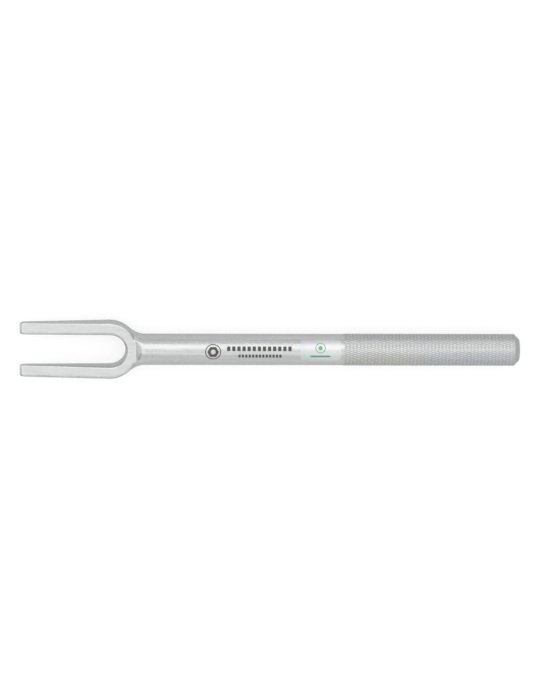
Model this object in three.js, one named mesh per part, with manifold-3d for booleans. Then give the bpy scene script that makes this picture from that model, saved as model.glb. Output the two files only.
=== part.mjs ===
// Ball joint separator: a two-tined wedge fork drop forged in one with its neck, plain shank, knurled grip
// and chamfered striking end, and a thin film label on the shank.
// Millimetres. +X runs from the fork tips to the striking end, the fork lies flat in the XY plane, +Z is up.
// The origin is under the middle of the tool, on the surface that the grip rests on.
// Left and right are as held, with the grip near and the tips ahead, so the right tine is on +Y.

import * as THREE from 'three';
import { mergeVertices } from 'three/addons/utils/BufferGeometryUtils.js';
import Module from 'manifold-3d';

// Distances along the tool, from the fork tips.
const TOTAL_LENGTH = 300;
const SLOT_STRAIGHT = 54;
const NECK_END = 75;
const GRIP_START = 194.2;
const END_CHAMFER = 3.15;

// Wedge fork. Widths are on the parting line halfway up; the walls lean in from there to both faces.
const SLOT_WIDTH = 18.4;
const TIP_WIDTH = 33.8;
const FORK_WIDTH = 35.7;
const TIP_THICKNESS = 4.3;
const FORK_THICKNESS = 10.7;
const DRAFT = THREE.MathUtils.degToRad(7);
const TIP_CHAMFER = 0.5;
const FACE_DEPTH = 15.6;
const FACE_SWEEP = 16.3;

// Neck, from the end of the wedge faces to the round shank. The three end angles are where the crotch's slot wall,
// its parting line and its face's edge each reach the neck, about the slot's centre.
const SLOT_END_ANGLE = THREE.MathUtils.degToRad(36);
const SIDE_END_ANGLE = THREE.MathUtils.degToRad(48);
const FACE_END_ANGLE = THREE.MathUtils.degToRad(24);
const SHOULDER_ANGLE = THREE.MathUtils.degToRad(50);
const NECK_LEAVE_HANDLE = 0.3;
const NECK_ARRIVE_HANDLE = 0.4;

// Round handle.
const SHANK_RADIUS = 9.4;
const GRIP_RADIUS = 9.55;
const END_FACE_RADIUS = 6.4;

// Film label, wrapped round the shank just before the knurl.
const LABEL_START = 167.8;
const LABEL_LENGTH = 24.5;
const LABEL_THICKNESS = 0.1;
const LABEL_FACETS = 7;
const LABEL_TURN_FACETS = 1;
const LABEL_CORNER = 2.5;

// Facets. A round has a flat at its top and bottom and a corner on the parting line at each side.
const ROUND_FACETS = 30;
const FACET_ANGLE = (2 * Math.PI) / ROUND_FACETS;
const WALL_ROWS = 8;
const NECK_COLUMNS = 7;
const NECK_STEPS = 6;
const SHOULDER_COLUMNS = 5;

const SLOT_RADIUS = SLOT_WIDTH / 2;
const FORK_RADIUS = FORK_WIDTH / 2;
const WEDGE_SLOPE = (FORK_THICKNESS - TIP_THICKNESS) / 2 / SLOT_STRAIGHT;
const SHANK_TURN = (FACET_ANGLE * NECK_COLUMNS) / 2;
const LEAN = Math.tan(DRAFT);

const steel = { color: 0xcdd0cf, roughness: 0.38, metalness: 0.9 };

function halfThickness(distance) {
  return TIP_THICKNESS / 2 + WEDGE_SLOPE * distance;
}

function addTriangle(positions, a, b, c, flipped) {
  const corners = flipped ? [a, c, b] : [a, b, c];
  corners.forEach((corner) => positions.push(corner.x, corner.y, corner.z));
}

// A patch of quads, all split along the same diagonal, so that two solids that share a patch match face to face.
function addPatch(positions, columns, rows, pointAt, flipped) {
  for (let column = 0; column < columns; column += 1) {
    for (let row = 0; row < rows; row += 1) {
      const near = pointAt(column, row);
      const far = pointAt(column + 1, row + 1);
      addTriangle(positions, near, pointAt(column + 1, row), far, flipped);
      addTriangle(positions, near, far, pointAt(column, row + 1), flipped);
    }
  }
}

function closedGeometry(positions) {
  const geometry = new THREE.BufferGeometry();
  geometry.setAttribute('position', new THREE.Float32BufferAttribute(positions, 3));
  const merged = mergeVertices(geometry);
  merged.computeVertexNormals();
  return merged;
}

// A bar swept through stations. pointAt(station, row, side) has row from the lower face to the upper one,
// and side 0 on the slot wall and 1 on the outer wall.
function sweptBar(stations, pointAt, flipped) {
  const positions = [];
  const last = stations - 1;
  addPatch(positions, last, WALL_ROWS, (station, row) => pointAt(station, row, 0), flipped);
  addPatch(positions, last, WALL_ROWS, (station, row) => pointAt(station, row, 1), !flipped);
  addPatch(positions, last, 1, (station, side) => pointAt(station, WALL_ROWS, side), flipped);
  addPatch(positions, last, 1, (station, side) => pointAt(station, 0, side), !flipped);
  addPatch(positions, 1, WALL_ROWS, (side, row) => pointAt(0, row, side), !flipped);
  addPatch(positions, 1, WALL_ROWS, (side, row) => pointAt(last, row, side), flipped);
  return closedGeometry(positions);
}

// Rows run from -1 on the lower face, through 0 on the parting line, to 1 on the upper face.
function rowHeight(row) {
  return (2 * row) / WALL_ROWS - 1;
}

// One straight tine, about the slot's centre, with chamfered edges round its tip.
function tineGeometry(ySign) {
  const stations = [
    { distance: 0, inset: TIP_CHAMFER },
    { distance: TIP_CHAMFER, inset: 0 },
    { distance: SLOT_STRAIGHT, inset: 0 },
  ];
  const pointAt = (station, row, side) => {
    const { distance, inset } = stations[station];
    const z = rowHeight(row) * (halfThickness(distance) - inset);
    const outerHalfWidth = THREE.MathUtils.lerp(TIP_WIDTH, FORK_WIDTH, distance / SLOT_STRAIGHT) / 2;
    const slotWall = SLOT_RADIUS + Math.abs(z) * LEAN + inset;
    const outerWall = outerHalfWidth - Math.abs(z) * LEAN - inset;
    const y = side === 0 ? slotWall : outerWall;
    return new THREE.Vector3(distance - SLOT_STRAIGHT, ySign * y, z);
  };
  return sweptBar(stations.length, pointAt, ySign < 0);
}

// The wedge face's edge beyond the slot's centre: an ellipse from the tines' outer walls, cut straight across
// by the shoulder.
function faceEdgeRadius(angle) {
  const halfWidth = FORK_RADIUS - halfThickness(SLOT_STRAIGHT) * LEAN;
  const sweep = (FACE_SWEEP * halfWidth) / Math.hypot(halfWidth * Math.cos(angle), FACE_SWEEP * Math.sin(angle));
  return Math.min(sweep, FACE_DEPTH / Math.cos(angle));
}

// The wall under the face's edge. Over the neck it eases back to the shoulder at the middle,
// where it is the surface at which the crotch and the neck are one piece of steel.
function outerWallPoint(station, row) {
  const edge = faceEdgeRadius(station.face);
  const fade = Math.min(1, Math.abs(station.side) / SIDE_END_ANGLE) ** 2;
  const height = rowHeight(row);
  const fall = 1 - Math.abs(height);
  const angle = THREE.MathUtils.lerp(station.face, station.side, fall);
  const radius = edge + (FORK_RADIUS - edge) * fade * fall;
  const z = height * halfThickness(SLOT_STRAIGHT + edge * Math.cos(station.face));
  return new THREE.Vector3(radius * Math.cos(angle), radius * Math.sin(angle), z);
}

// The slot's round wall, leaning back from the parting line until it meets the sloping faces.
function slotWallPoint(angle, row) {
  const slope = WEDGE_SLOPE * Math.cos(angle);
  const faceHeight = (halfThickness(SLOT_STRAIGHT) + slope * SLOT_RADIUS) / (1 - slope * LEAN);
  const z = rowHeight(row) * faceHeight;
  const radius = SLOT_RADIUS + Math.abs(z) * LEAN;
  return new THREE.Vector3(radius * Math.cos(angle), radius * Math.sin(angle), z);
}

// A station of the crotch has an angle about the slot's centre on the slot's wall, on the parting line at the
// side and on the face's edge. This is the station at a column of the neck.
function neckStation(column) {
  const across = (2 * column) / NECK_COLUMNS - 1;
  const shoulder = (Math.tan(FACE_END_ANGLE) * Math.sin(SHANK_TURN * across)) / Math.sin(SHANK_TURN);
  return { slot: SLOT_END_ANGLE * across, side: SIDE_END_ANGLE * across, face: Math.atan(shoulder) };
}

function crotchStations() {
  const toNeck = Array.from({ length: SHOULDER_COLUMNS }, (unused, step) => {
    const angleAt = (end) => THREE.MathUtils.lerp(-Math.PI / 2, -end, step / SHOULDER_COLUMNS);
    return { slot: angleAt(SLOT_END_ANGLE), side: angleAt(SIDE_END_ANGLE), face: angleAt(FACE_END_ANGLE) };
  });
  const alongNeck = Array.from({ length: NECK_COLUMNS + 1 }, (unused, column) => neckStation(column));
  const fromNeck = toNeck.map(({ slot, side, face }) => ({ slot: -slot, side: -side, face: -face })).reverse();
  return [...toNeck, ...alongNeck, ...fromNeck];
}

// The round bottom of the slot, about the slot's centre, up to the shoulder.
function crotchGeometry() {
  const stations = crotchStations();
  const pointAt = (station, row, side) =>
    (side === 0 ? slotWallPoint(stations[station].slot, row) : outerWallPoint(stations[station], row));
  return sweptBar(stations.length, pointAt, true);
}

// Corner of a round's facets, at a turn from straight up towards +Y.
function roundCorner(radius, turn, x) {
  const cornerRadius = radius / Math.cos(FACET_ANGLE / 2);
  return new THREE.Vector3(x, cornerRadius * Math.sin(turn), cornerRadius * Math.cos(turn));
}

// How the neck's surface leaves the crotch: steeply up the shoulder by half of what it has to rise,
// and along the fork's round outside at its two sides.
function neckLeave(start, end, height) {
  const climb = Math.max(0, Math.abs(end.z) - Math.abs(start.z)) / 2;
  const fall = 1 - Math.abs(height);
  const turn = -Math.sign(start.y) * (Math.PI / 2 - SIDE_END_ANGLE) * fall;
  const along = climb / Math.tan(SHOULDER_ANGLE) + NECK_LEAVE_HANDLE * fall * start.distanceTo(end);
  return new THREE.Vector3(along * Math.cos(turn), along * Math.sin(turn), climb * Math.sign(height));
}

// The neck's first loop, once round from the upper face's -Y end, as columns and rows of the crotch's outer wall.
function neckLoop() {
  const corners = [];
  for (let column = 0; column < NECK_COLUMNS; column += 1) corners.push([column, WALL_ROWS]);
  for (let row = WALL_ROWS; row > 0; row -= 1) corners.push([NECK_COLUMNS, row]);
  for (let column = NECK_COLUMNS; column > 0; column -= 1) corners.push([column, 0]);
  for (let row = 0; row < WALL_ROWS; row += 1) corners.push([0, row]);
  return corners;
}

// The neck blends from the wall under the face's edge to the round shank along one Bezier curve for each corner.
function neckGeometry() {
  const endX = NECK_END - SLOT_STRAIGHT;
  const curves = neckLoop().map(([column, row], index) => {
    const start = outerWallPoint(neckStation(column), row);
    const end = roundCorner(SHANK_RADIUS, FACET_ANGLE * index - SHANK_TURN, endX);
    const leave = start.clone().add(neckLeave(start, end, rowHeight(row)));
    const arrive = end.clone().setX(endX - NECK_ARRIVE_HANDLE * start.distanceTo(end));
    return new THREE.CubicBezierCurve3(start, leave, arrive, end);
  });
  const curvePoint = (step, index) => curves[index % curves.length].getPoint(step / NECK_STEPS);
  const positions = [];
  addPatch(positions, NECK_STEPS, curves.length, curvePoint, false);
  addPatch(positions, NECK_COLUMNS, WALL_ROWS,
    (column, row) => outerWallPoint(neckStation(column), row), true);
  const centre = new THREE.Vector3(endX, 0, 0);
  curves.forEach((curve, index) => {
    addTriangle(positions, centre, curvePoint(NECK_STEPS, index), curvePoint(NECK_STEPS, index + 1), true);
  });
  return closedGeometry(positions);
}

// A faceted round bar along X that starts at x = 0. Its flats lie on the two radii.
function roundBarGeometry(startRadius, endRadius, length) {
  const cornerScale = 1 / Math.cos(FACET_ANGLE / 2);
  const geometry = new THREE.CylinderGeometry(
    startRadius * cornerScale, endRadius * cornerScale, length, ROUND_FACETS);
  geometry.rotateZ(Math.PI / 2);
  geometry.translate(length / 2, 0, 0);
  geometry.rotateX(FACET_ANGLE / 2);
  geometry.deleteAttribute('uv');
  return geometry;
}

// The film before its corners are rounded: a strip of the shank's own facets, one film thickness deep.
function labelStripGeometry() {
  const firstTurn = FACET_ANGLE * (LABEL_TURN_FACETS - LABEL_FACETS / 2);
  const outline = (radius) => Array.from({ length: LABEL_FACETS + 1 }, (unused, index) => {
    const corner = roundCorner(radius, firstTurn + FACET_ANGLE * index, 0);
    return new THREE.Vector2(corner.y, corner.z);
  });
  const inner = outline(SHANK_RADIUS);
  const outer = outline(SHANK_RADIUS + LABEL_THICKNESS);
  const shape = new THREE.Shape([...inner, ...outer.reverse()]);
  const geometry = new THREE.ExtrudeGeometry(shape, { depth: LABEL_LENGTH, bevelEnabled: false });
  return geometry.applyMatrix4(new THREE.Matrix4().set(0, 0, 1, 0, 1, 0, 0, 0, 0, 1, 0, 0, 0, 0, 0, 1));
}

// A rounded rectangle as long as the film and as wide as its chord, standing up through it.
function labelCutterGeometry() {
  const halfWidth = (SHANK_RADIUS + LABEL_THICKNESS) * Math.sin((FACET_ANGLE * LABEL_FACETS) / 2);
  const shape = new THREE.Shape();
  shape.moveTo(LABEL_CORNER, -halfWidth);
  shape.lineTo(LABEL_LENGTH - LABEL_CORNER, -halfWidth);
  shape.absarc(LABEL_LENGTH - LABEL_CORNER, LABEL_CORNER - halfWidth, LABEL_CORNER, -Math.PI / 2, 0, false);
  shape.absarc(LABEL_LENGTH - LABEL_CORNER, halfWidth - LABEL_CORNER, LABEL_CORNER, 0, Math.PI / 2, false);
  shape.absarc(LABEL_CORNER, halfWidth - LABEL_CORNER, LABEL_CORNER, Math.PI / 2, Math.PI, false);
  shape.absarc(LABEL_CORNER, LABEL_CORNER - halfWidth, LABEL_CORNER, Math.PI, Math.PI * 1.5, false);
  const geometry = new THREE.ExtrudeGeometry(shape, {
    depth: 2 * SHANK_RADIUS,
    bevelEnabled: false,
    curveSegments: 4,
  });
  return geometry.rotateX(-FACET_ANGLE * LABEL_TURN_FACETS);
}

const wasm = await Module();
wasm.setup();

function toManifold(geometry) {
  const bare = geometry.clone();
  bare.deleteAttribute('normal');
  bare.deleteAttribute('uv');
  const merged = mergeVertices(bare);
  return new wasm.Manifold(new wasm.Mesh({
    numProp: 3,
    vertProperties: new Float32Array(merged.attributes.position.array),
    triVerts: new Uint32Array(merged.index.array),
  }));
}

function labelGeometry() {
  const cut = toManifold(labelStripGeometry()).intersect(toManifold(labelCutterGeometry())).getMesh();
  const geometry = new THREE.BufferGeometry();
  geometry.setAttribute('position', new THREE.Float32BufferAttribute(cut.vertProperties, 3));
  geometry.setIndex(Array.from(cut.triVerts));
  geometry.computeVertexNormals();
  return geometry;
}

function makePiece(name, geometry, look) {
  const mesh = new THREE.Mesh(geometry, new THREE.MeshStandardMaterial(look));
  mesh.name = name;
  return mesh;
}

function makeTine(name, ySign) {
  return makePiece(name, tineGeometry(ySign), steel);
}

function makeCrotch() {
  return makePiece('fork_crotch', crotchGeometry(), steel);
}

function makeNeck() {
  return makePiece('neck', neckGeometry(), steel);
}

function makeShank() {
  const shank = makePiece('shank', roundBarGeometry(SHANK_RADIUS, SHANK_RADIUS, GRIP_START - NECK_END), steel);
  shank.position.x = NECK_END;
  return shank;
}

// The grip is plain at the diameter over its knurl's crests.
function makeGrip() {
  const length = TOTAL_LENGTH - END_CHAMFER - GRIP_START;
  const grip = makePiece('knurled_grip', roundBarGeometry(GRIP_RADIUS, GRIP_RADIUS, length),
    { color: 0xc4c8c7, roughness: 0.5, metalness: 0.9 });
  grip.position.x = GRIP_START;
  return grip;
}

function makeStrikingEnd() {
  const end = makePiece('striking_end', roundBarGeometry(GRIP_RADIUS, END_FACE_RADIUS, END_CHAMFER), steel);
  end.position.x = TOTAL_LENGTH - END_CHAMFER;
  return end;
}

function makeLabel() {
  const label = makePiece('film_label', labelGeometry(), { color: 0xe2e8e6, roughness: 0.3, metalness: 0.1 });
  label.position.x = LABEL_START;
  return label;
}

// The fork's pieces are built about the slot's centre, the handle's from the tips.
const fork = new THREE.Group();
fork.position.x = SLOT_STRAIGHT;
fork.add(makeTine('tine_left', -1), makeTine('tine_right', 1), makeCrotch(), makeNeck());

const handle = new THREE.Group();
handle.add(makeShank(), makeGrip(), makeStrikingEnd(), makeLabel());

const group = new THREE.Group();
group.position.set(-TOTAL_LENGTH / 2, 0, GRIP_RADIUS);
group.add(fork, handle);

export default group;
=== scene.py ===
"""Ball joint separator: the looks of a zinc-plated wedge fork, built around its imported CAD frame.

Metres. +X runs from the fork tips to the striking end, the fork lies flat in the XY plane, +Z is up.
The forging is one smooth surface on the real tool, so it is made as one control cage, smoothed as a whole,
and only then divided into the pieces that stand for the CAD nodes.
"""

import math
from collections import namedtuple

import bmesh
import bpy
from mathutils import Matrix, Vector, noise


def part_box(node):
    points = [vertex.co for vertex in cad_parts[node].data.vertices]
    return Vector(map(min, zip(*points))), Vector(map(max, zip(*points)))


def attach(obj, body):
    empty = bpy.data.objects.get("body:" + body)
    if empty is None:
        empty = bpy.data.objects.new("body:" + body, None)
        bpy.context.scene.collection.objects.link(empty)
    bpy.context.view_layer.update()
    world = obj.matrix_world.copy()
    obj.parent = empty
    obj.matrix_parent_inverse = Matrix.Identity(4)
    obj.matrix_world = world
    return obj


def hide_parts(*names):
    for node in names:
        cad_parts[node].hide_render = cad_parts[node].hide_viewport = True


MM = 0.001

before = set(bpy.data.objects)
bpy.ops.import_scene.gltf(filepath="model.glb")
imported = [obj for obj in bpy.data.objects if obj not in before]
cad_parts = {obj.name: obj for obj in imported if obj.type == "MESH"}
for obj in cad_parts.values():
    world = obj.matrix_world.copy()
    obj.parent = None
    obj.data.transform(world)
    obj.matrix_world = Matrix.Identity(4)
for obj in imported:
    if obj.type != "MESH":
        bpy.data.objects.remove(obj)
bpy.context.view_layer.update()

# ---------------------------------------------------------------- sizes from the frame

tine_low, tine_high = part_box("tine_right")
crotch_low, crotch_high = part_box("fork_crotch")
shank_low, shank_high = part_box("shank")
grip_low, grip_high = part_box("knurled_grip")
end_low, end_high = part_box("striking_end")
label_low, label_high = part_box("film_label")

TIP_X = tine_low.x
SLOT_X = tine_high.x
NECK_END_X = shank_low.x
GRIP_X = grip_low.x
CHAMFER_X = end_low.x
END_X = end_high.x
AXIS_Z = (shank_low.z + shank_high.z) / 2
SHANK_RADIUS = (shank_high.z - shank_low.z) / 2
GRIP_RADIUS = (grip_high.z - grip_low.z) / 2
SLOT_RADIUS = tine_low.y
FORK_RADIUS = tine_high.y
SLOT_HALF_THICKNESS = (tine_high.z - tine_low.z) / 2
SHOULDER_HALF_THICKNESS = (crotch_high.z - crotch_low.z) / 2
FACE_DEPTH = crotch_high.x - SLOT_X
WEDGE_SLOPE = (SHOULDER_HALF_THICKNESS - SLOT_HALF_THICKNESS) / FACE_DEPTH

# ---------------------------------------------------------------- sizes of the fine shape

DRAFT = math.radians(7)
LEAN = math.tan(DRAFT)
TIP_HALF_WIDTH = 16.9 * MM
FACE_SWEEP = 16.3 * MM
SLOT_END_ANGLE = math.radians(36)
SIDE_END_ANGLE = math.radians(48)
FACE_END_ANGLE = math.radians(24)
SHOULDER_ANGLE = math.radians(50)
NECK_LEAVE_HANDLE = 0.3
NECK_ARRIVE_HANDLE = 0.4
SHANK_TURN = math.radians(42)
END_FACE_RADIUS = 6.4 * MM

EDGE_LOOP = 2.3 * MM
EDGE_LOOP_MOST = 0.45
TIP_LOOP = 1.6 * MM
TIP_BEVEL = 1.0 * MM
PARTING_LAND = 0.5 * MM
TINE_STEPS = 8
CROTCH_STEPS_OUTSIDE_NECK = 9
NECK_COLUMNS = 18
NECK_STEPS = 9
NECK_CROWDING = 1.5
SHANK_STEPS = 16
SMOOTHING_LEVELS = 2
FORGED_WAVE = 0.02 * MM
FORGED_WAVE_LENGTH = 9.0 * MM
FORGED_WAVE_MIDDLE = 1.2
FINE_WAVES = 2.3
NECK_SWELL = 0.004
SHARED_NORMAL_LIMIT = 0.3

# ---------------------------------------------------------------- the forging's control cage

Station = namedtuple("Station", "slot side face")


def lerp(a, b, share):
    return a + (b - a) * share


def half_thickness(x):
    """Half the wedge's thickness, x from the slot's centre."""
    return SLOT_HALF_THICKNESS + WEDGE_SLOPE * x


def wall_heights(half):
    """The rows of a wall from its lower to its upper edge, close to each edge and to the parting line."""
    shoulder = half - min(EDGE_LOOP, EDGE_LOOP_MOST * half)
    middle = (shoulder + PARTING_LAND) / 2
    upper = [PARTING_LAND, middle, shoulder, half]
    return [-z for z in reversed(upper)] + upper


def lean_back(z):
    """How far a wall has leaned back at a height. The flash land on the parting line is upright."""
    return LEAN * abs(z) if abs(z) > PARTING_LAND else 0.0


def face_edge_radius(angle):
    """The wedge face's edge beyond the slot's centre: an ellipse, cut straight across by the shoulder."""
    half_width = FORK_RADIUS - SLOT_HALF_THICKNESS * LEAN
    across = math.hypot(half_width * math.cos(angle), FACE_SWEEP * math.sin(angle))
    return min(FACE_SWEEP * half_width / across, FACE_DEPTH / math.cos(angle))


def fork_point(x, y, z):
    return Vector((SLOT_X + x, y, AXIS_Z + z))


def outer_wall(station):
    """The wall under the face's edge, from its lower to its upper row."""
    edge = face_edge_radius(station.face)
    half = half_thickness(edge * math.cos(station.face))
    fade = min(1.0, abs(station.side) / SIDE_END_ANGLE) ** 2
    points = []
    for z in wall_heights(half):
        fall = min(1.0, (half - abs(z)) / (half - PARTING_LAND))
        angle = lerp(station.face, station.side, fall)
        radius = edge + (FORK_RADIUS - edge) * fade * fall
        points.append(fork_point(radius * math.cos(angle), radius * math.sin(angle), z))
    return points


def slot_wall(angle):
    """The slot's round wall at an angle, from its lower to its upper row."""
    slope = WEDGE_SLOPE * math.cos(angle)
    half = (SLOT_HALF_THICKNESS + slope * SLOT_RADIUS) / (1 - slope * LEAN)
    points = []
    for z in wall_heights(half):
        radius = SLOT_RADIUS + lean_back(z)
        points.append(fork_point(radius * math.cos(angle), radius * math.sin(angle), z))
    return points


def tine_walls(distance, side):
    """Both walls of a tine at a distance from its tip, which is bevelled all round.
    side is 1 for the right tine and -1 for the left.
    """
    x = TIP_X - SLOT_X + distance
    along = distance / (SLOT_X - TIP_X)
    bevel = TIP_BEVEL if distance == 0 else 0.0
    outer_half_width = lerp(TIP_HALF_WIDTH, FORK_RADIUS, along) - bevel / 2
    heights = wall_heights(half_thickness(x) - bevel)
    inner = [fork_point(x, side * (SLOT_RADIUS + bevel / 2 + lean_back(z)), z) for z in heights]
    outer = [fork_point(x, side * (outer_half_width - lean_back(z)), z) for z in heights]
    return inner, outer


def across_face(inner, outer):
    """Points between a face's two edges: close to each edge, and one in the middle."""
    direction = (outer - inner).normalized()
    return [inner + direction * EDGE_LOOP, (inner + outer) / 2, outer - direction * EDGE_LOOP]


class Cage:
    """A bmesh that shares vertices at equal places and tags each face with its zone."""

    def __init__(self):
        self.mesh = bmesh.new()
        self.found = {}

    def vertex(self, point):
        key = tuple(round(value / MM, 5) for value in point)
        if key not in self.found:
            self.found[key] = self.mesh.verts.new(point)
        return self.found[key]

    def face(self, points, zone):
        made = self.mesh.faces.new([self.vertex(point) for point in points])
        made.material_index = zone
        made.smooth = True

    def strip(self, first, second, zone):
        """Quads between two rows of points."""
        for index in range(len(first) - 1):
            self.face([first[index], first[index + 1], second[index + 1], second[index]], zone)


ZONES = ["tine_left", "tine_right", "fork_crotch", "neck", "shank"]
ZONE = {name: index for index, name in enumerate(ZONES)}


def section(inner, outer):
    """A bar's section as its four sides, each from corner to corner."""
    over = [inner[-1], *across_face(inner[-1], outer[-1]), outer[-1]]
    under = [inner[0], *across_face(inner[0], outer[0]), outer[0]]
    return {"inner": inner, "outer": outer, "over": over, "under": under}


def add_bar(cage, sections, zone, open_outside=()):
    """Skins a bar through its sections. The outer wall stays open from the stations in open_outside on."""
    for index in range(len(sections) - 1):
        here, there = sections[index], sections[index + 1]
        for side in ("inner", "over", "under"):
            cage.strip(here[side], there[side], zone)
        if index not in open_outside:
            cage.strip(here["outer"], there["outer"], zone)


def add_tip(cage, tip, zone):
    """Closes a tine's tip with a grid of quads between its walls."""
    rows = [[low, *across_face(low, high), high] for low, high in zip(tip["inner"], tip["outer"])]
    rows[0], rows[-1] = tip["under"], tip["over"]
    for first, second in zip(rows, rows[1:]):
        cage.strip(first, second, zone)


def tine_stations():
    length = SLOT_X - TIP_X
    even = [length * step / TINE_STEPS for step in range(1, TINE_STEPS + 1)]
    return [0.0, TIP_LOOP, *even]


def add_tine(cage, side, zone):
    sections = [section(*tine_walls(distance, side)) for distance in tine_stations()]
    add_bar(cage, sections, zone)
    add_tip(cage, sections[0], zone)


def neck_station(column):
    """The crotch's three angles at a column of the neck: on the slot's wall, on the parting line at the side
    and on the face's edge.
    """
    across = 2 * column / NECK_COLUMNS - 1
    shoulder = math.tan(FACE_END_ANGLE) * math.sin(SHANK_TURN * across) / math.sin(SHANK_TURN)
    return Station(SLOT_END_ANGLE * across, SIDE_END_ANGLE * across, math.atan(shoulder))


def crotch_stations():
    ends = (SLOT_END_ANGLE, SIDE_END_ANGLE, FACE_END_ANGLE)
    outside = [
        Station(*(lerp(-math.pi / 2, -end, step / CROTCH_STEPS_OUTSIDE_NECK) for end in ends))
        for step in range(CROTCH_STEPS_OUTSIDE_NECK)
    ]
    under_neck = [neck_station(column) for column in range(NECK_COLUMNS + 1)]
    mirrored = [Station(*(-angle for angle in station)) for station in reversed(outside)]
    return outside + under_neck + mirrored


def add_crotch(cage, zone):
    sections = [section(slot_wall(station.slot), outer_wall(station)) for station in crotch_stations()]
    first = CROTCH_STEPS_OUTSIDE_NECK
    add_bar(cage, sections, zone, open_outside=range(first, first + NECK_COLUMNS))


def neck_leave(start, end, fall):
    """How the neck's surface leaves the crotch: steeply up the shoulder by half of what it has to rise,
    and along the fork's round outside at its two sides.
    fall is 0 on the faces' edges and 1 on the parting line.
    """
    climb = max(0.0, abs(end.z - AXIS_Z) - abs(start.z - AXIS_Z)) / 2
    turn = -math.copysign((math.pi / 2 - SIDE_END_ANGLE) * fall, start.y)
    along = climb / math.tan(SHOULDER_ANGLE) + NECK_LEAVE_HANDLE * fall * (end - start).length
    rise = math.copysign(climb, start.z - AXIS_Z)
    return Vector((along * math.cos(turn), along * math.sin(turn), rise))


def neck_loop():
    """Once round the neck's start: (point, fall below the face's edge, turn on the shank from upright)."""
    walls = [outer_wall(neck_station(column)) for column in range(NECK_COLUMNS + 1)]
    rows = len(walls[0])
    loop = []
    for column in range(NECK_COLUMNS + 1):
        turn = SHANK_TURN * (2 * column / NECK_COLUMNS - 1)
        loop.append((walls[column][-1], 0.0, turn))
    half = walls[-1][-1].z - AXIS_Z
    for row in range(rows - 2, 0, -1):
        turn = SHANK_TURN + (math.pi - 2 * SHANK_TURN) * (rows - 1 - row) / (rows - 1)
        point = walls[-1][row]
        loop.append((point, 1 - abs(point.z - AXIS_Z) / half, turn))
    opposite = [
        (Vector((point.x, -point.y, 2 * AXIS_Z - point.z)), fall, turn + math.pi)
        for point, fall, turn in loop
    ]
    return loop + opposite


def shank_point(x, turn):
    return Vector((x, SHANK_RADIUS * math.sin(turn), AXIS_Z + SHANK_RADIUS * math.cos(turn)))


def bezier(a, b, c, d, t):
    s = 1 - t
    return a * s**3 + b * (3 * s * s * t) + c * (3 * s * t * t) + d * t**3


def neck_steps():
    """Steps along the neck, closer together near the face's edge, which keeps the shoulder crisp."""
    return [(step / NECK_STEPS) ** NECK_CROWDING for step in range(NECK_STEPS + 1)]


def neck_curve(start, fall, turn):
    end = shank_point(NECK_END_X, turn)
    leave = start + neck_leave(start, end, fall)
    arrive = end - Vector((NECK_ARRIVE_HANDLE * (end - start).length, 0, 0))
    return [bezier(start, leave, arrive, end, step) for step in neck_steps()]


def add_neck_and_shank(cage):
    loop = neck_loop()
    curves = [neck_curve(*corner) for corner in loop]
    turns = [corner[-1] for corner in loop]
    curves.append(curves[0])
    turns.append(turns[0])
    for step in range(len(neck_steps()) - 1):
        cage.strip([c[step] for c in curves], [c[step + 1] for c in curves], ZONE["neck"])
    for step in range(SHANK_STEPS):
        near = NECK_END_X + (GRIP_X - NECK_END_X) * step / SHANK_STEPS
        far = NECK_END_X + (GRIP_X - NECK_END_X) * (step + 1) / SHANK_STEPS
        rings = [[shank_point(x, turn) for turn in turns] for x in (near, far)]
        cage.strip(rings[0], rings[1], ZONE["shank"])


def build_forging():
    """The smoothed surface of the fork, neck and shank, with each face's zone in its material index."""
    cage = Cage()
    add_tine(cage, 1, ZONE["tine_right"])
    add_tine(cage, -1, ZONE["tine_left"])
    add_crotch(cage, ZONE["fork_crotch"])
    add_neck_and_shank(cage)
    bmesh.ops.recalc_face_normals(cage.mesh, faces=cage.mesh.faces)
    mesh = bpy.data.meshes.new("forging_cage")
    cage.mesh.to_mesh(mesh)
    cage.mesh.free()
    forging = bpy.data.objects.new("forging_cage", mesh)
    bpy.context.scene.collection.objects.link(forging)
    smoothing = forging.modifiers.new("smoothing", "SUBSURF")
    smoothing.levels = SMOOTHING_LEVELS
    smoothing.render_levels = SMOOTHING_LEVELS
    graph = bpy.context.evaluated_depsgraph_get()
    smooth = bpy.data.meshes.new_from_object(forging.evaluated_get(graph))
    bpy.data.objects.remove(forging)
    return smooth


def true_up_shank(mesh):
    """Smoothing draws the round shank in a little, so it goes back out to its radius. The neck follows."""
    start = SLOT_X + FACE_DEPTH
    for vertex in mesh.vertices:
        along = (vertex.co.x - start) / (NECK_END_X - start)
        if along <= 0:
            continue
        share = min(1.0, along) ** 2
        radial = Vector((0, vertex.co.y, vertex.co.z - AXIS_Z))
        if along >= 1:
            vertex.co += radial.normalized() * (SHANK_RADIUS - radial.length)
        else:
            vertex.co += radial * (NECK_SWELL * share)


def roughen(mesh):
    """Shallow waves of the forged surface, only ever inwards."""
    normals = [vertex.normal.copy() for vertex in mesh.vertices]
    for vertex, normal in zip(mesh.vertices, normals):
        place = vertex.co / FORGED_WAVE_LENGTH
        wave = noise.noise(place) + 0.5 * noise.noise(vertex.co * FINE_WAVES / FORGED_WAVE_LENGTH)
        vertex.co -= normal * FORGED_WAVE * (FORGED_WAVE_MIDDLE + wave) / 2


def link_mesh(name, mesh):
    piece = bpy.data.objects.new(name, mesh)
    bpy.context.scene.collection.objects.link(piece)
    return piece


def fill_ends(work):
    """Closes a zone where it was cut from its neighbours. The filling is inside the steel."""
    edges = [edge for edge in work.edges if edge.is_boundary]
    before = set(work.faces)
    bmesh.ops.holes_fill(work, edges=edges, sides=0)
    return [face for face in work.faces if face not in before]


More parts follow.
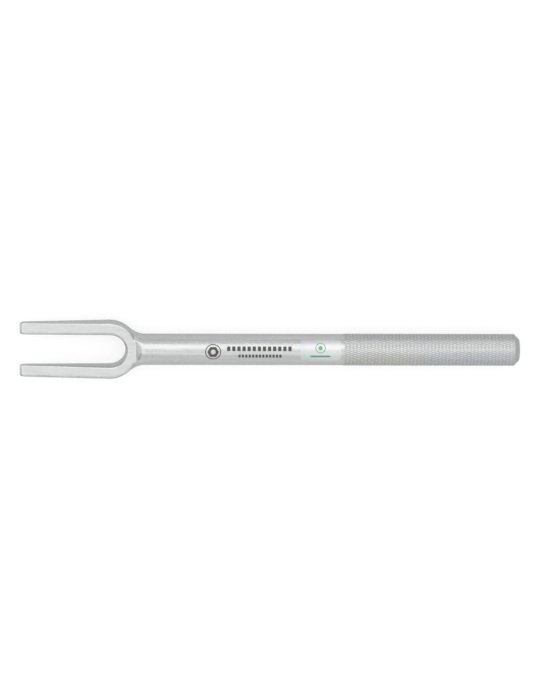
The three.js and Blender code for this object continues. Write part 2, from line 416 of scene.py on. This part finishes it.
def divide(mesh):
    """One closed piece for each zone. Each keeps the whole surface's normals, so no seam shows."""
    pieces = {}
    for name in ZONES:
        work = bmesh.new()
        work.from_mesh(mesh)
        other = [face for face in work.faces if face.material_index != ZONE[name]]
        normal_layer = [work.verts.layers.float.new(f"normal_{axis}") for axis in "xyz"]
        for vertex in work.verts:
            for layer, value in zip(normal_layer, vertex.normal):
                vertex[layer] = value
        bmesh.ops.delete(work, geom=other, context="FACES")
        caps = fill_ends(work)
        bmesh.ops.recalc_face_normals(work, faces=work.faces)
        bmesh.ops.triangulate(work, faces=[cap for cap in caps if cap.is_valid])
        for face in work.faces:
            face.material_index = 0
            face.smooth = True
        piece_mesh = bpy.data.meshes.new(name + "_steel")
        work.to_mesh(piece_mesh)
        work.free()
        normals = shared_normals(piece_mesh)
        piece_mesh.normals_split_custom_set(normals)
        for axis in "xyz":
            piece_mesh.attributes.remove(piece_mesh.attributes[f"normal_{axis}"])
        pieces[name] = link_mesh(name + "_steel", piece_mesh)
    return pieces


def shared_normals(mesh):
    """Each corner's normal: the whole surface's, or the face's own on a filled end."""
    stored = [[item.value for item in mesh.attributes[f"normal_{axis}"].data] for axis in "xyz"]
    normals = []
    for face in mesh.polygons:
        for vertex in face.vertices:
            whole = Vector([values[vertex] for values in stored])
            shared = whole.dot(face.normal) > SHARED_NORMAL_LIMIT
            normals.append(whole if shared else face.normal.copy())
    return normals


# ---------------------------------------------------------------- round pieces


def axis_point(x, radius, turn):
    return Vector((x, radius * math.sin(turn), AXIS_Z + radius * math.cos(turn)))


def revolve(name, profile, segments):
    """A closed round body from a profile of (x, radius) that starts and ends on the axis."""
    work = bmesh.new()
    rings = []
    for x, radius in profile:
        if radius == 0:
            rings.append([work.verts.new(axis_point(x, 0, 0))])
        else:
            turns = [2 * math.pi * index / segments for index in range(segments)]
            rings.append([work.verts.new(axis_point(x, radius, turn)) for turn in turns])
    for first, second in zip(rings, rings[1:]):
        for index in range(segments):
            corners = [
                first[index % len(first)],
                first[(index + 1) % len(first)],
                second[(index + 1) % len(second)],
                second[index % len(second)],
            ]
            work.faces.new(list(dict.fromkeys(corners)))
    bmesh.ops.recalc_face_normals(work, faces=work.faces)
    mesh = bpy.data.meshes.new(name)
    work.to_mesh(mesh)
    work.free()
    return link_mesh(name, mesh)


def arc_profile(centre, radius, start, end, steps):
    """Points of an arc in the (x, radius) plane, angles in degrees from +x."""
    angles = [math.radians(start + (end - start) * step / steps) for step in range(steps + 1)]
    return [(centre[0] + radius * math.cos(a), centre[1] + radius * math.sin(a)) for a in angles]


END_ROUNDING = 0.5 * MM
END_ROUNDING_STEPS = 6
CHAMFER_ANGLE = 45
RIM_WIDTH = 0.12 * MM
RIM_DROP = 0.04 * MM
RIM_FOOT_DROP = 0.1 * MM
FACE_RINGS = (0, 0.3, 0.6, 0.85)
ROUND_SEGMENTS = 144


def build_striking_end():
    """A 45 degree chamfer with softened edges, and a flat struck face."""
    reach = END_ROUNDING * math.tan(math.radians(CHAMFER_ANGLE / 2))
    centre = (END_X - END_ROUNDING, END_FACE_RADIUS - reach)
    face = [(END_X, END_FACE_RADIUS * share) for share in FACE_RINGS]
    edge = arc_profile(centre, END_ROUNDING, 0, CHAMFER_ANGLE, END_ROUNDING_STEPS)
    rim = [(CHAMFER_X + RIM_WIDTH, GRIP_RADIUS - RIM_DROP), (CHAMFER_X, GRIP_RADIUS - RIM_FOOT_DROP)]
    profile = face + edge + rim + [(CHAMFER_X, 0)]
    return revolve("striking_end_steel", profile, ROUND_SEGMENTS)


KNURLS_AROUND = 50
KNURL_AXIAL_PITCH = 4.19 * MM
KNURL_DEPTH = 0.07 * MM
KNURL_CREST = 0.5


def build_grip():
    """A fine diamond knurl: blunt pyramids between crossing grooves, cut off square at both ends."""
    rows = round((CHAMFER_X - GRIP_X) / KNURL_AXIAL_PITCH)
    pitch = (CHAMFER_X - GRIP_X) / rows
    turn_step = 2 * math.pi / KNURLS_AROUND
    groove_radius = GRIP_RADIUS - KNURL_DEPTH
    work = bmesh.new()
    found = {}

    def vertex(half_row, half_turn, crest):
        """A point at half steps along and around the lattice. Crests are shared by no two diamonds."""
        radius = GRIP_RADIUS if crest else groove_radius
        key = (round(half_row, 3), round(half_turn % (2 * KNURLS_AROUND), 3), crest)
        if key not in found:
            x = GRIP_X + half_row * pitch / 2
            found[key] = work.verts.new(axis_point(x, radius, half_turn * turn_step / 2))
        return found[key]

    for half_row in range(0, 2 * rows + 1):
        for half_turn in range(half_row % 2 + 1, 2 * KNURLS_AROUND + 1, 2):
            steps = [(0, -1), (1, 0), (0, 1), (-1, 0)]
            if half_row == 0:
                steps = steps[:3]
            if half_row == 2 * rows:
                steps = steps[2:] + steps[:1]
            low = [vertex(half_row + a, half_turn + b, False) for a, b in steps]
            high = [
                vertex(half_row + a * KNURL_CREST, half_turn + b * KNURL_CREST, True)
                for a, b in steps
            ]
            work.faces.new(high)
            sides = len(steps) if len(steps) == 4 else len(steps) - 1
            for index in range(sides):
                after = (index + 1) % len(steps)
                work.faces.new([low[index], low[after], high[after], high[index]])
    edges = [edge for edge in work.edges if edge.is_boundary]
    bmesh.ops.holes_fill(work, edges=edges, sides=0)
    bmesh.ops.recalc_face_normals(work, faces=work.faces)
    mesh = bpy.data.meshes.new("knurled_grip_steel")
    work.to_mesh(mesh)
    work.free()
    return link_mesh("knurled_grip_steel", mesh)


# ---------------------------------------------------------------- label and printed marks

LABEL_CORNER = 2.6 * MM
LABEL_THICKNESS = 0.1 * MM
INK_THICKNESS = 0.03 * MM
MARK_TURN = math.radians(5)
LABEL_TURN = math.radians(12)
LABEL_HALF_WIDTH = math.radians(40) * SHANK_RADIUS
FIRST_RING = 0.02
RING_POINTS = 72


def wrap(x, across, radius, turn):
    """A point of a flat drawing wrapped round the shank. across is the arc length from its middle line."""
    return axis_point(x, radius, turn + across / SHANK_RADIUS)


def wrapped_plate(name, rings, closed, low_radius, high_radius, turn):
    """A thin plate on the shank from rings of (x, across), which run from one edge to the other."""
    work = bmesh.new()
    layers = []
    for radius in (low_radius, high_radius):
        layer = []
        for ring in rings:
            layer.append([work.verts.new(wrap(x, across, radius, turn)) for x, across in ring])
        layers.append(layer)
    count = len(rings[0])
    spans = count if closed else count - 1
    for layer in layers:
        for first, second in zip(layer, layer[1:]):
            for index in range(spans):
                after = (index + 1) % count
                work.faces.new([first[index], first[after], second[after], second[index]])
    for edge in (0, -1):
        low, high = layers[0][edge], layers[1][edge]
        for index in range(spans):
            after = (index + 1) % count
            work.faces.new([low[index], low[after], high[after], high[index]])
    if not closed:
        for column in (0, -1):
            for row in range(len(rings) - 1):
                corners = [(0, row), (0, row + 1), (1, row + 1), (1, row)]
                work.faces.new([layers[layer][line][column] for layer, line in corners])
    bmesh.ops.recalc_face_normals(work, faces=work.faces)
    mesh = bpy.data.meshes.new(name)
    work.to_mesh(mesh)
    work.free()
    return link_mesh(name, mesh)


def rounded_half_width(distance, length, half_width, corner):
    """Half the width of a rounded rectangle at a distance from its end."""
    inset = max(corner - distance, distance - (length - corner), 0.0)
    return half_width - corner + math.sqrt(max(corner**2 - inset**2, 0.0))


def rounded_rectangle_rings(x, length, half_width, corner, middle=0.0, columns=24, steps=6):
    """Rings across a rounded rectangle, close together at its round corners."""
    ends = [corner * (1 - math.cos(math.pi / 2 * step / steps)) for step in range(steps + 1)]
    ends[0] = FIRST_RING * corner
    distances = ends + [length - value for value in reversed(ends)]
    rings = []
    for distance in distances:
        half = rounded_half_width(distance, length, half_width, corner)
        across = [middle + half * (2 * column / columns - 1) for column in range(columns + 1)]
        rings.append([(x + distance, value) for value in across])
    return rings


def circle_ring(x, across, radius):
    angles = [2 * math.pi * index / RING_POINTS for index in range(RING_POINTS)]
    return [(x + radius * math.cos(a), across + radius * math.sin(a)) for a in angles]


def polygon_ring(x, across, radius, sides):
    """A regular polygon with as many points as a circle ring, so that the two can be joined."""
    ring = []
    for index in range(RING_POINTS):
        angle = 2 * math.pi * index / RING_POINTS
        off_middle = (angle % (2 * math.pi / sides)) - math.pi / sides
        reach = radius * math.cos(math.pi / sides) / math.cos(off_middle)
        ring.append((x + reach * math.cos(angle), across + reach * math.sin(angle)))
    return ring


def build_label():
    length = label_high.x - label_low.x
    rings = rounded_rectangle_rings(label_low.x, length, LABEL_HALF_WIDTH, LABEL_CORNER)
    low = SHANK_RADIUS - FORGED_WAVE
    high = SHANK_RADIUS + LABEL_THICKNESS
    return wrapped_plate("film_label_skin", rings, False, low, high, LABEL_TURN)


def ink_radii(base):
    return base - FORGED_WAVE, base + INK_THICKNESS


# ---------------------------------------------------------------- materials


def new_material(name):
    material = bpy.data.materials.new(name)
    material.use_nodes = True
    tree = material.node_tree
    tree.nodes.clear()
    output = tree.nodes.new("ShaderNodeOutputMaterial")
    shader = tree.nodes.new("ShaderNodeBsdfPrincipled")
    tree.links.new(shader.outputs[0], output.inputs[0])
    return material, tree, shader


def place_node(tree, scale):
    """Object coordinates stretched by a scale for each axis, in features per metre."""
    coordinates = tree.nodes.new("ShaderNodeTexCoord")
    mapping = tree.nodes.new("ShaderNodeMapping")
    mapping.inputs["Scale"].default_value = scale
    tree.links.new(coordinates.outputs["Object"], mapping.inputs["Vector"])
    return mapping.outputs[0]


def noise_node(tree, scale, detail=3.0, roughness=0.5):
    texture = tree.nodes.new("ShaderNodeTexNoise")
    texture.inputs["Scale"].default_value = 1.0
    texture.inputs["Detail"].default_value = detail
    texture.inputs["Roughness"].default_value = roughness
    tree.links.new(place_node(tree, scale), texture.inputs["Vector"])
    return texture.outputs[0]


def ramp_node(tree, source, stops):
    ramp = tree.nodes.new("ShaderNodeValToRGB")
    while len(ramp.color_ramp.elements) < len(stops):
        ramp.color_ramp.elements.new(0.5)
    for element, (position, colour) in zip(ramp.color_ramp.elements, stops):
        element.position = position
        element.color = (*colour, 1)
    tree.links.new(source, ramp.inputs[0])
    return ramp.outputs[0]


def range_node(tree, source, low, high, from_low=0.3, from_high=0.7):
    mapped = tree.nodes.new("ShaderNodeMapRange")
    mapped.inputs["From Min"].default_value = from_low
    mapped.inputs["From Max"].default_value = from_high
    mapped.inputs["To Min"].default_value = low
    mapped.inputs["To Max"].default_value = high
    tree.links.new(source, mapped.inputs["Value"])
    return mapped.outputs[0]


def mix_colour(tree, factor, first, second, mode="MIX"):
    mix = tree.nodes.new("ShaderNodeMix")
    mix.data_type = "RGBA"
    mix.blend_type = mode
    for socket, value in ((mix.inputs[0], factor), (mix.inputs[6], first), (mix.inputs[7], second)):
        if isinstance(value, bpy.types.NodeSocket):
            tree.links.new(value, socket)
        else:
            socket.default_value = value
    return mix.outputs[2]


def bump_node(tree, height, distance, strength=1.0, before=None):
    bump = tree.nodes.new("ShaderNodeBump")
    bump.inputs["Distance"].default_value = distance
    bump.inputs["Strength"].default_value = strength
    tree.links.new(height, bump.inputs["Height"])
    if before is not None:
        tree.links.new(before, bump.inputs["Normal"])
    return bump.outputs[0]


def place_value(tree, axis, low, high):
    """0 to 1 along an axis between two places."""
    split = tree.nodes.new("ShaderNodeSeparateXYZ")
    tree.links.new(place_node(tree, (1, 1, 1)), split.inputs[0])
    return range_node(tree, split.outputs[axis], 0.0, 1.0, low, high)


def grey_ramp(tree, source, dark, light):
    """A ramp between two greys, each as (position, value)."""
    return ramp_node(tree, source, [(position, (value, value, value)) for position, value in (dark, light)])


def painted_groove_shade(tree, darkest):
    """Painted shade: 1 on the knurl's crests, falling to a darker value in its grooves, where shade falls.
    """
    offset = tree.nodes.new("ShaderNodeVectorMath")
    offset.operation = "MULTIPLY_ADD"
    offset.inputs[1].default_value = (0, 1, 1)
    offset.inputs[2].default_value = (0, 0, -AXIS_Z)
    tree.links.new(place_node(tree, (1, 1, 1)), offset.inputs[0])
    radius = tree.nodes.new("ShaderNodeVectorMath")
    radius.operation = "LENGTH"
    tree.links.new(offset.outputs[0], radius.inputs[0])
    groove_radius = GRIP_RADIUS - KNURL_DEPTH
    return range_node(tree, radius.outputs["Value"], darkest, 1.0, groove_radius, GRIP_RADIUS)


def plated_steel(name, tone, roughness, streaks, groove_painted_shade=None):
    """Satin zinc plate over steel: cool grey with faint green and lilac clouds, mottled gloss, lengthwise
    streaks and a fine grain. A groove value darkens the knurl's grooves as painted shade and tints its lower
    side.
    """
    material, tree, shader = new_material(name)
    shader.inputs["Metallic"].default_value = 1.0
    shader.inputs["Specular Tint"].default_value = (0.75, 0.75, 0.75, 1)
    clouds = noise_node(tree, (55, 90, 90), 2.0)
    red, green, blue = tone
    tint = ramp_node(tree, clouds, [
        (0.25, (red * 0.985, green * 1.0, blue * 0.985)),
        (0.5, (red, green, blue)),
        (0.75, (red * 1.0, green * 0.985, blue * 1.015)),
    ])
    mottle = noise_node(tree, (420, 420, 420), 4.0, 0.6)
    shade = grey_ramp(tree, mottle, (0.3, 0.93), (0.7, 1.0))
    colour = mix_colour(tree, 1.0, tint, shade, "MULTIPLY")
    brushed = grey_ramp(tree, noise_node(tree, (28, 1100, 1100), 3.0), (0.35, 0.93), (0.65, 1.02))
    colour = mix_colour(tree, 1.0, colour, brushed, "MULTIPLY")
    if groove_painted_shade is not None:
        # Painted shade: the knurl's grooves made darker in colour.
        colour = mix_colour(tree, 1.0, colour, painted_groove_shade(tree, groove_painted_shade), "MULTIPLY")
        along = place_value(tree, "X", grip_low.x, grip_high.x)
        stops = [(0.15, WARM_TINT), (0.35, WARM_TINT), (0.55, COOL_TINT), (0.9, COOL_TINT)]
        tinted = mix_colour(tree, 1.0, colour, ramp_node(tree, along, stops), "MULTIPLY")
        colour = mix_colour(tree, place_value(tree, "Y", *TINT_FADE), colour, tinted)
    tree.links.new(colour, shader.inputs["Base Color"])
    gloss = range_node(tree, mottle, roughness - 0.05, roughness + 0.07)
    tree.links.new(gloss, shader.inputs["Roughness"])
    grain = bump_node(tree, noise_node(tree, (2600, 2600, 2600), 2.0), 0.006 * MM)
    dents = bump_node(tree, noise_node(tree, (170, 260, 260), 2.0), 0.15 * MM, before=grain)
    drawn = bump_node(tree, noise_node(tree, (60, 1500, 1500), 2.0), streaks, before=dents)
    tree.links.new(drawn, shader.inputs["Normal"])
    return material


def ink(name, colour, roughness):
    """Printed ink: dark, slightly uneven, with pinholes of roughness."""
    material, tree, shader = new_material(name)
    patches = noise_node(tree, (1200, 1200, 1200), 3.0)
    dark = tuple(value * 0.8 for value in colour)
    tone = ramp_node(tree, patches, [(0.35, dark), (0.65, colour)])
    gloss = range_node(tree, patches, roughness - 0.1, roughness + 0.1)
    tree.links.new(tone, shader.inputs["Base Color"])
    tree.links.new(gloss, shader.inputs["Roughness"])
    return material


def pearly_film(name):
    """A whitish foil: lilac and pink along its +Y side, mint along its -Y side, plain towards the grip."""
    material, tree, shader = new_material(name)
    shader.inputs["Metallic"].default_value = 0.9
    shader.inputs["Coat Weight"].default_value = 0.15
    shader.inputs["Coat Roughness"].default_value = 0.15
    clouds = noise_node(tree, (90, 160, 160), 1.5)
    along = place_value(tree, "X", label_low.x, label_high.x)
    upper = ramp_node(tree, along, [
        (0.0, (0.50, 0.49, 0.54)),
        (0.5, (0.54, 0.51, 0.54)),
        (0.85, (0.53, 0.53, 0.53)),
    ])
    lower = ramp_node(tree, along, [
        (0.1, (0.45, 0.53, 0.50)),
        (0.6, (0.50, 0.53, 0.52)),
        (0.85, (0.52, 0.53, 0.53)),
    ])
    mixed = mix_colour(tree, place_value(tree, "Y", *FILM_FADE), lower, upper)
    patches = ramp_node(tree, clouds, [
        (0.35, (0.93, 1.0, 0.97)),
        (0.5, (1.0, 1.0, 1.0)),
        (0.65, (1.0, 0.95, 0.99)),
    ])
    tree.links.new(mix_colour(tree, 1.0, mixed, patches, "MULTIPLY"), shader.inputs["Base Color"])
    flecks = noise_node(tree, (1800, 1800, 1800), 2.0)
    tree.links.new(range_node(tree, flecks, 0.30, 0.42), shader.inputs["Roughness"])
    wrinkles = bump_node(tree, noise_node(tree, (500, 500, 500), 2.0), 0.01 * MM)
    tree.links.new(wrinkles, shader.inputs["Normal"])
    return material


def floor_white(name):
    """A lit white table, with a barely uneven surface."""
    material, tree, shader = new_material(name)
    tone = noise_node(tree, (9, 9, 9), 2.0)
    tree.links.new(grey_ramp(tree, tone, (0, 0.24), (1, 0.26)), shader.inputs["Base Color"])
    shader.inputs["Roughness"].default_value = 0.9
    shader.inputs["Emission Color"].default_value = (1, 1, 1, 1)
    shader.inputs["Emission Strength"].default_value = FLOOR_GLOW
    return material


# ---------------------------------------------------------------- the object

STEEL_TONE = (0.47, 0.48, 0.475)
WARM_TINT = (1.0, 0.995, 0.955)
COOL_TINT = (0.965, 0.975, 1.03)
# A lightened copy of the steel for the knurl: painted light.
KNURL_PAINTED_LIGHT = 1.15
# Painted shade in the knurl's grooves: the darkest share of their colour.
GROOVE_PAINTED_SHADE = 0.46
# A darkened copy of the steel for the striking end: painted shade.
STRUCK_END_PAINTED_SHADE = 0.85
SATIN = 0.24
DULL_SATIN = 0.3
STREAK_DEPTH = 0.01 * MM
TINT_FADE = (4 * MM, -2 * MM)
FILM_FADE = (-3.5 * MM, 4.5 * MM)


def scaled(tone, share):
    return tuple(value * share for value in tone)


steel = plated_steel("plated_steel_look", STEEL_TONE, SATIN, STREAK_DEPTH)
# The knurl's lightened copy of the steel: painted light, with painted shade in its grooves.
knurled = plated_steel("knurled_steel_painted_light_and_shade_look", scaled(STEEL_TONE, KNURL_PAINTED_LIGHT), DULL_SATIN, 0.0, GROOVE_PAINTED_SHADE)
# The striking end's darkened copy of the steel: painted shade.
struck_end_painted_shade = plated_steel("struck_end_painted_shade_look", scaled(STEEL_TONE, STRUCK_END_PAINTED_SHADE), DULL_SATIN, 0.0)
film = pearly_film("label_film_look")
dark_ink = ink("marking_ink_look", (0.055, 0.042, 0.040), 0.5)
green_ink = ink("label_ink_look", (0.10, 0.42, 0.17), 0.4)
deep_green_ink = ink("label_dark_ink_look", (0.05, 0.20, 0.12), 0.4)


def finish_piece(piece, material, slot, *nodes):
    """Gives a piece its material and puts it on the tool's one body. The slot is not used."""
    piece.data.materials.clear()
    piece.data.materials.append(material)
    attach(piece, "root")
    if nodes:
        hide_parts(*nodes)
    return piece


def shade_by_angle(piece, degrees):
    """Smooth shading with edges sharper than an angle kept crisp."""
    piece.data.shade_smooth()
    piece.data.set_sharp_from_angle(angle=math.radians(degrees))


forging = build_forging()
true_up_shank(forging)
roughen(forging)
for zone_name, zone_piece in divide(forging).items():
    finish_piece(zone_piece, steel, "plated_steel", zone_name)
bpy.data.meshes.remove(forging)

end_piece = finish_piece(build_striking_end(), struck_end_painted_shade, "plated_steel", "striking_end")
shade_by_angle(end_piece, 30)
finish_piece(build_grip(), knurled, "knurled_steel", "knurled_grip")

label_piece = finish_piece(build_label(), film, "label_film", "film_label")
shade_by_angle(label_piece, 40)

BADGE_X = TIP_X + 115.5 * MM
BADGE_RADIUS = 4.8 * MM
BADGE_LINE = 0.55 * MM
NUT_RADIUS = 3.5 * MM
NUT_HOLE_RADIUS = 1.5 * MM

badge_rings = [circle_ring(BADGE_X, 0, BADGE_RADIUS), circle_ring(BADGE_X, 0, BADGE_RADIUS - BADGE_LINE)]
badge = wrapped_plate("badge_ring", badge_rings, True, *ink_radii(SHANK_RADIUS), MARK_TURN)
finish_piece(badge, dark_ink, "marking_ink")

nut_outline = polygon_ring(BADGE_X, 0, NUT_RADIUS, 6)
nut_hole = circle_ring(BADGE_X, 0, NUT_HOLE_RADIUS)
nut_rings = [
    [(lerp(a[0], b[0], share), lerp(a[1], b[1], share)) for a, b in zip(nut_outline, nut_hole)]
    for share in (0, 0.5, 1)
]
nut = wrapped_plate("badge_nut", nut_rings, True, *ink_radii(SHANK_RADIUS), MARK_TURN)
finish_piece(nut, dark_ink, "marking_ink")


def dash_row(name, start, end, dashes, half_height, across, share):
    """A row of plain equal dashes, joined as one piece. share is how much of its step a dash fills."""
    pitch = (end - start) / dashes
    corner = 0.25 * half_height
    work = bmesh.new()
    for index in range(dashes):
        x = start + pitch * (index + (1 - share) / 2)
        rings = rounded_rectangle_rings(x, pitch * share, half_height, corner, across, 4, 3)
        dash = wrapped_plate("dash", rings, False, *ink_radii(SHANK_RADIUS), MARK_TURN)
        work.from_mesh(dash.data)
        mesh = dash.data
        bpy.data.objects.remove(dash)
        bpy.data.meshes.remove(mesh)
    mesh = bpy.data.meshes.new(name)
    work.to_mesh(mesh)
    work.free()
    return finish_piece(link_mesh(name, mesh), dark_ink, "marking_ink")


DASHES = 13
DASH_SHARE = 0.66
LONG_ROW = (TIP_X + 123.3 * MM, TIP_X + 163 * MM)
SHORT_ROW = (TIP_X + 130.3 * MM, TIP_X + 156.8 * MM)
dash_row("long_dash_row", *LONG_ROW, DASHES, 1.4 * MM, 2.0 * MM, DASH_SHARE)
dash_row("short_dash_row", *SHORT_ROW, DASHES, 1.0 * MM, -2.5 * MM, DASH_SHARE)

LABEL_RING_X = label_low.x + 12 * MM
LABEL_RING_ACROSS = 1.3 * MM
LABEL_RING_RADII = (3.1 * MM, 2.6 * MM)
LABEL_DOT_RADII = (1.3 * MM, 0.6 * MM, 0.02 * MM)
LABEL_BAR_LENGTH = 12 * MM
LABEL_BAR_ACROSS = -3.7 * MM
LABEL_BAR_HALF_WIDTH = 0.45 * MM
LABEL_BAR_CORNER = 0.3 * MM
label_top = SHANK_RADIUS + LABEL_THICKNESS
label_ring_rings = [circle_ring(LABEL_RING_X, LABEL_RING_ACROSS, radius) for radius in LABEL_RING_RADII]
label_ring = wrapped_plate("label_ring", label_ring_rings, True, *ink_radii(label_top), LABEL_TURN)
finish_piece(label_ring, green_ink, "label_ink")

label_dot_rings = [circle_ring(LABEL_RING_X, LABEL_RING_ACROSS, radius) for radius in LABEL_DOT_RADII]
label_dot = wrapped_plate("label_dot", label_dot_rings, True, *ink_radii(label_top), LABEL_TURN)
finish_piece(label_dot, green_ink, "label_ink")

bar_rings = rounded_rectangle_rings(
    LABEL_RING_X - LABEL_BAR_LENGTH / 2, LABEL_BAR_LENGTH, LABEL_BAR_HALF_WIDTH, LABEL_BAR_CORNER,
    LABEL_BAR_ACROSS, 6, 3)
label_bar = wrapped_plate("label_bar", bar_rings, False, *ink_radii(label_top), LABEL_TURN)
finish_piece(label_bar, deep_green_ink, "label_ink")

# ---------------------------------------------------------------- studio

FLOOR_SIZE = 8.0
FLOOR_GLOW = 0.72
WORLD_RADIANCE = 0.70
LIGHT_DISTANCE = 2.0


def build_floor():
    mesh = bpy.data.meshes.new("floor")
    half = FLOOR_SIZE / 2
    corners = [(-half, -half, 0), (half, -half, 0), (half, half, 0), (-half, half, 0)]
    mesh.from_pydata(corners, [], [(0, 1, 2, 3)])
    floor = link_mesh("floor", mesh)
    floor.data.materials.append(floor_white("floor_look"))


def softbox(name, direction_degrees, width, height, radiance):
    """A soft light that looks at the tool. Its direction is (tilt towards +Y, tilt towards +X) from
    straight up, and its radiance adds to the world's.
    """
    tilt_y, tilt_x = (math.radians(value) for value in direction_degrees)
    direction = Vector((
        math.sin(tilt_x),
        math.cos(tilt_x) * math.sin(tilt_y),
        math.cos(tilt_x) * math.cos(tilt_y),
    ))
    data = bpy.data.lights.new(name, "AREA")
    data.shape = "RECTANGLE"
    data.size = width
    data.size_y = height
    data.energy = radiance * math.pi * width * height
    lamp = bpy.data.objects.new(name, data)
    bpy.context.scene.collection.objects.link(lamp)
    lamp.location = direction * LIGHT_DISTANCE
    lamp.rotation_euler = direction.to_track_quat("Z", "Y").to_euler()


def build_world():
    world = bpy.data.worlds.new("studio")
    bpy.context.scene.world = world
    world.use_nodes = True
    background = world.node_tree.nodes["Background"]
    background.inputs[0].default_value = (1, 1, 1, 1)
    background.inputs[1].default_value = WORLD_RADIANCE


VIEW_TILT_Y = math.radians(15)
VIEW_TILT_X = math.radians(3)
VIEW_ROLL = math.radians(0.1)
VIEW_DISTANCE = 2.4
VIEW_WIDTH = 0.3241
VIEW_OFFSET_Y = -0.34 * MM


def build_camera():
    """A long lens over the fork, leaning a little towards +Y and towards the tips."""
    to_camera = Vector((
        -math.sin(VIEW_TILT_X),
        math.cos(VIEW_TILT_X) * math.sin(VIEW_TILT_Y),
        math.cos(VIEW_TILT_X) * math.cos(VIEW_TILT_Y),
    ))
    up = Vector((0, math.cos(VIEW_TILT_Y), -math.sin(VIEW_TILT_Y)))
    right = up.cross(to_camera)
    turn = Matrix((right, up, to_camera)).transposed() @ Matrix.Rotation(VIEW_ROLL, 3, "Z")
    data = bpy.data.cameras.new("camera")
    data.sensor_fit = "HORIZONTAL"
    data.lens = data.sensor_width * VIEW_DISTANCE / VIEW_WIDTH
    camera = bpy.data.objects.new("camera", data)
    bpy.context.scene.collection.objects.link(camera)
    target = Vector((0, VIEW_OFFSET_Y, AXIS_Z))
    camera.matrix_world = Matrix.Translation(target + to_camera * VIEW_DISTANCE) @ turn.to_4x4()
    bpy.context.scene.camera = camera


build_floor()
build_world()
softbox("overhead", (-9, 0), 3.2, 1.7, 0.73)
softbox("key", (34, 0), 3.2, 1.4, 1.35)
softbox("high_side", (68, 0), 3.2, 1.1, 0.45)
softbox("low_side", (-62, 0), 3.2, 2.0, 0.45)
softbox("tip_side", (0, -68), 1.4, 3.0, 0.60)
softbox("fork_fill", (-14, -22), 0.9, 1.6, 0.25)
build_camera()
bpy.context.scene.view_settings.view_transform = "Standard"
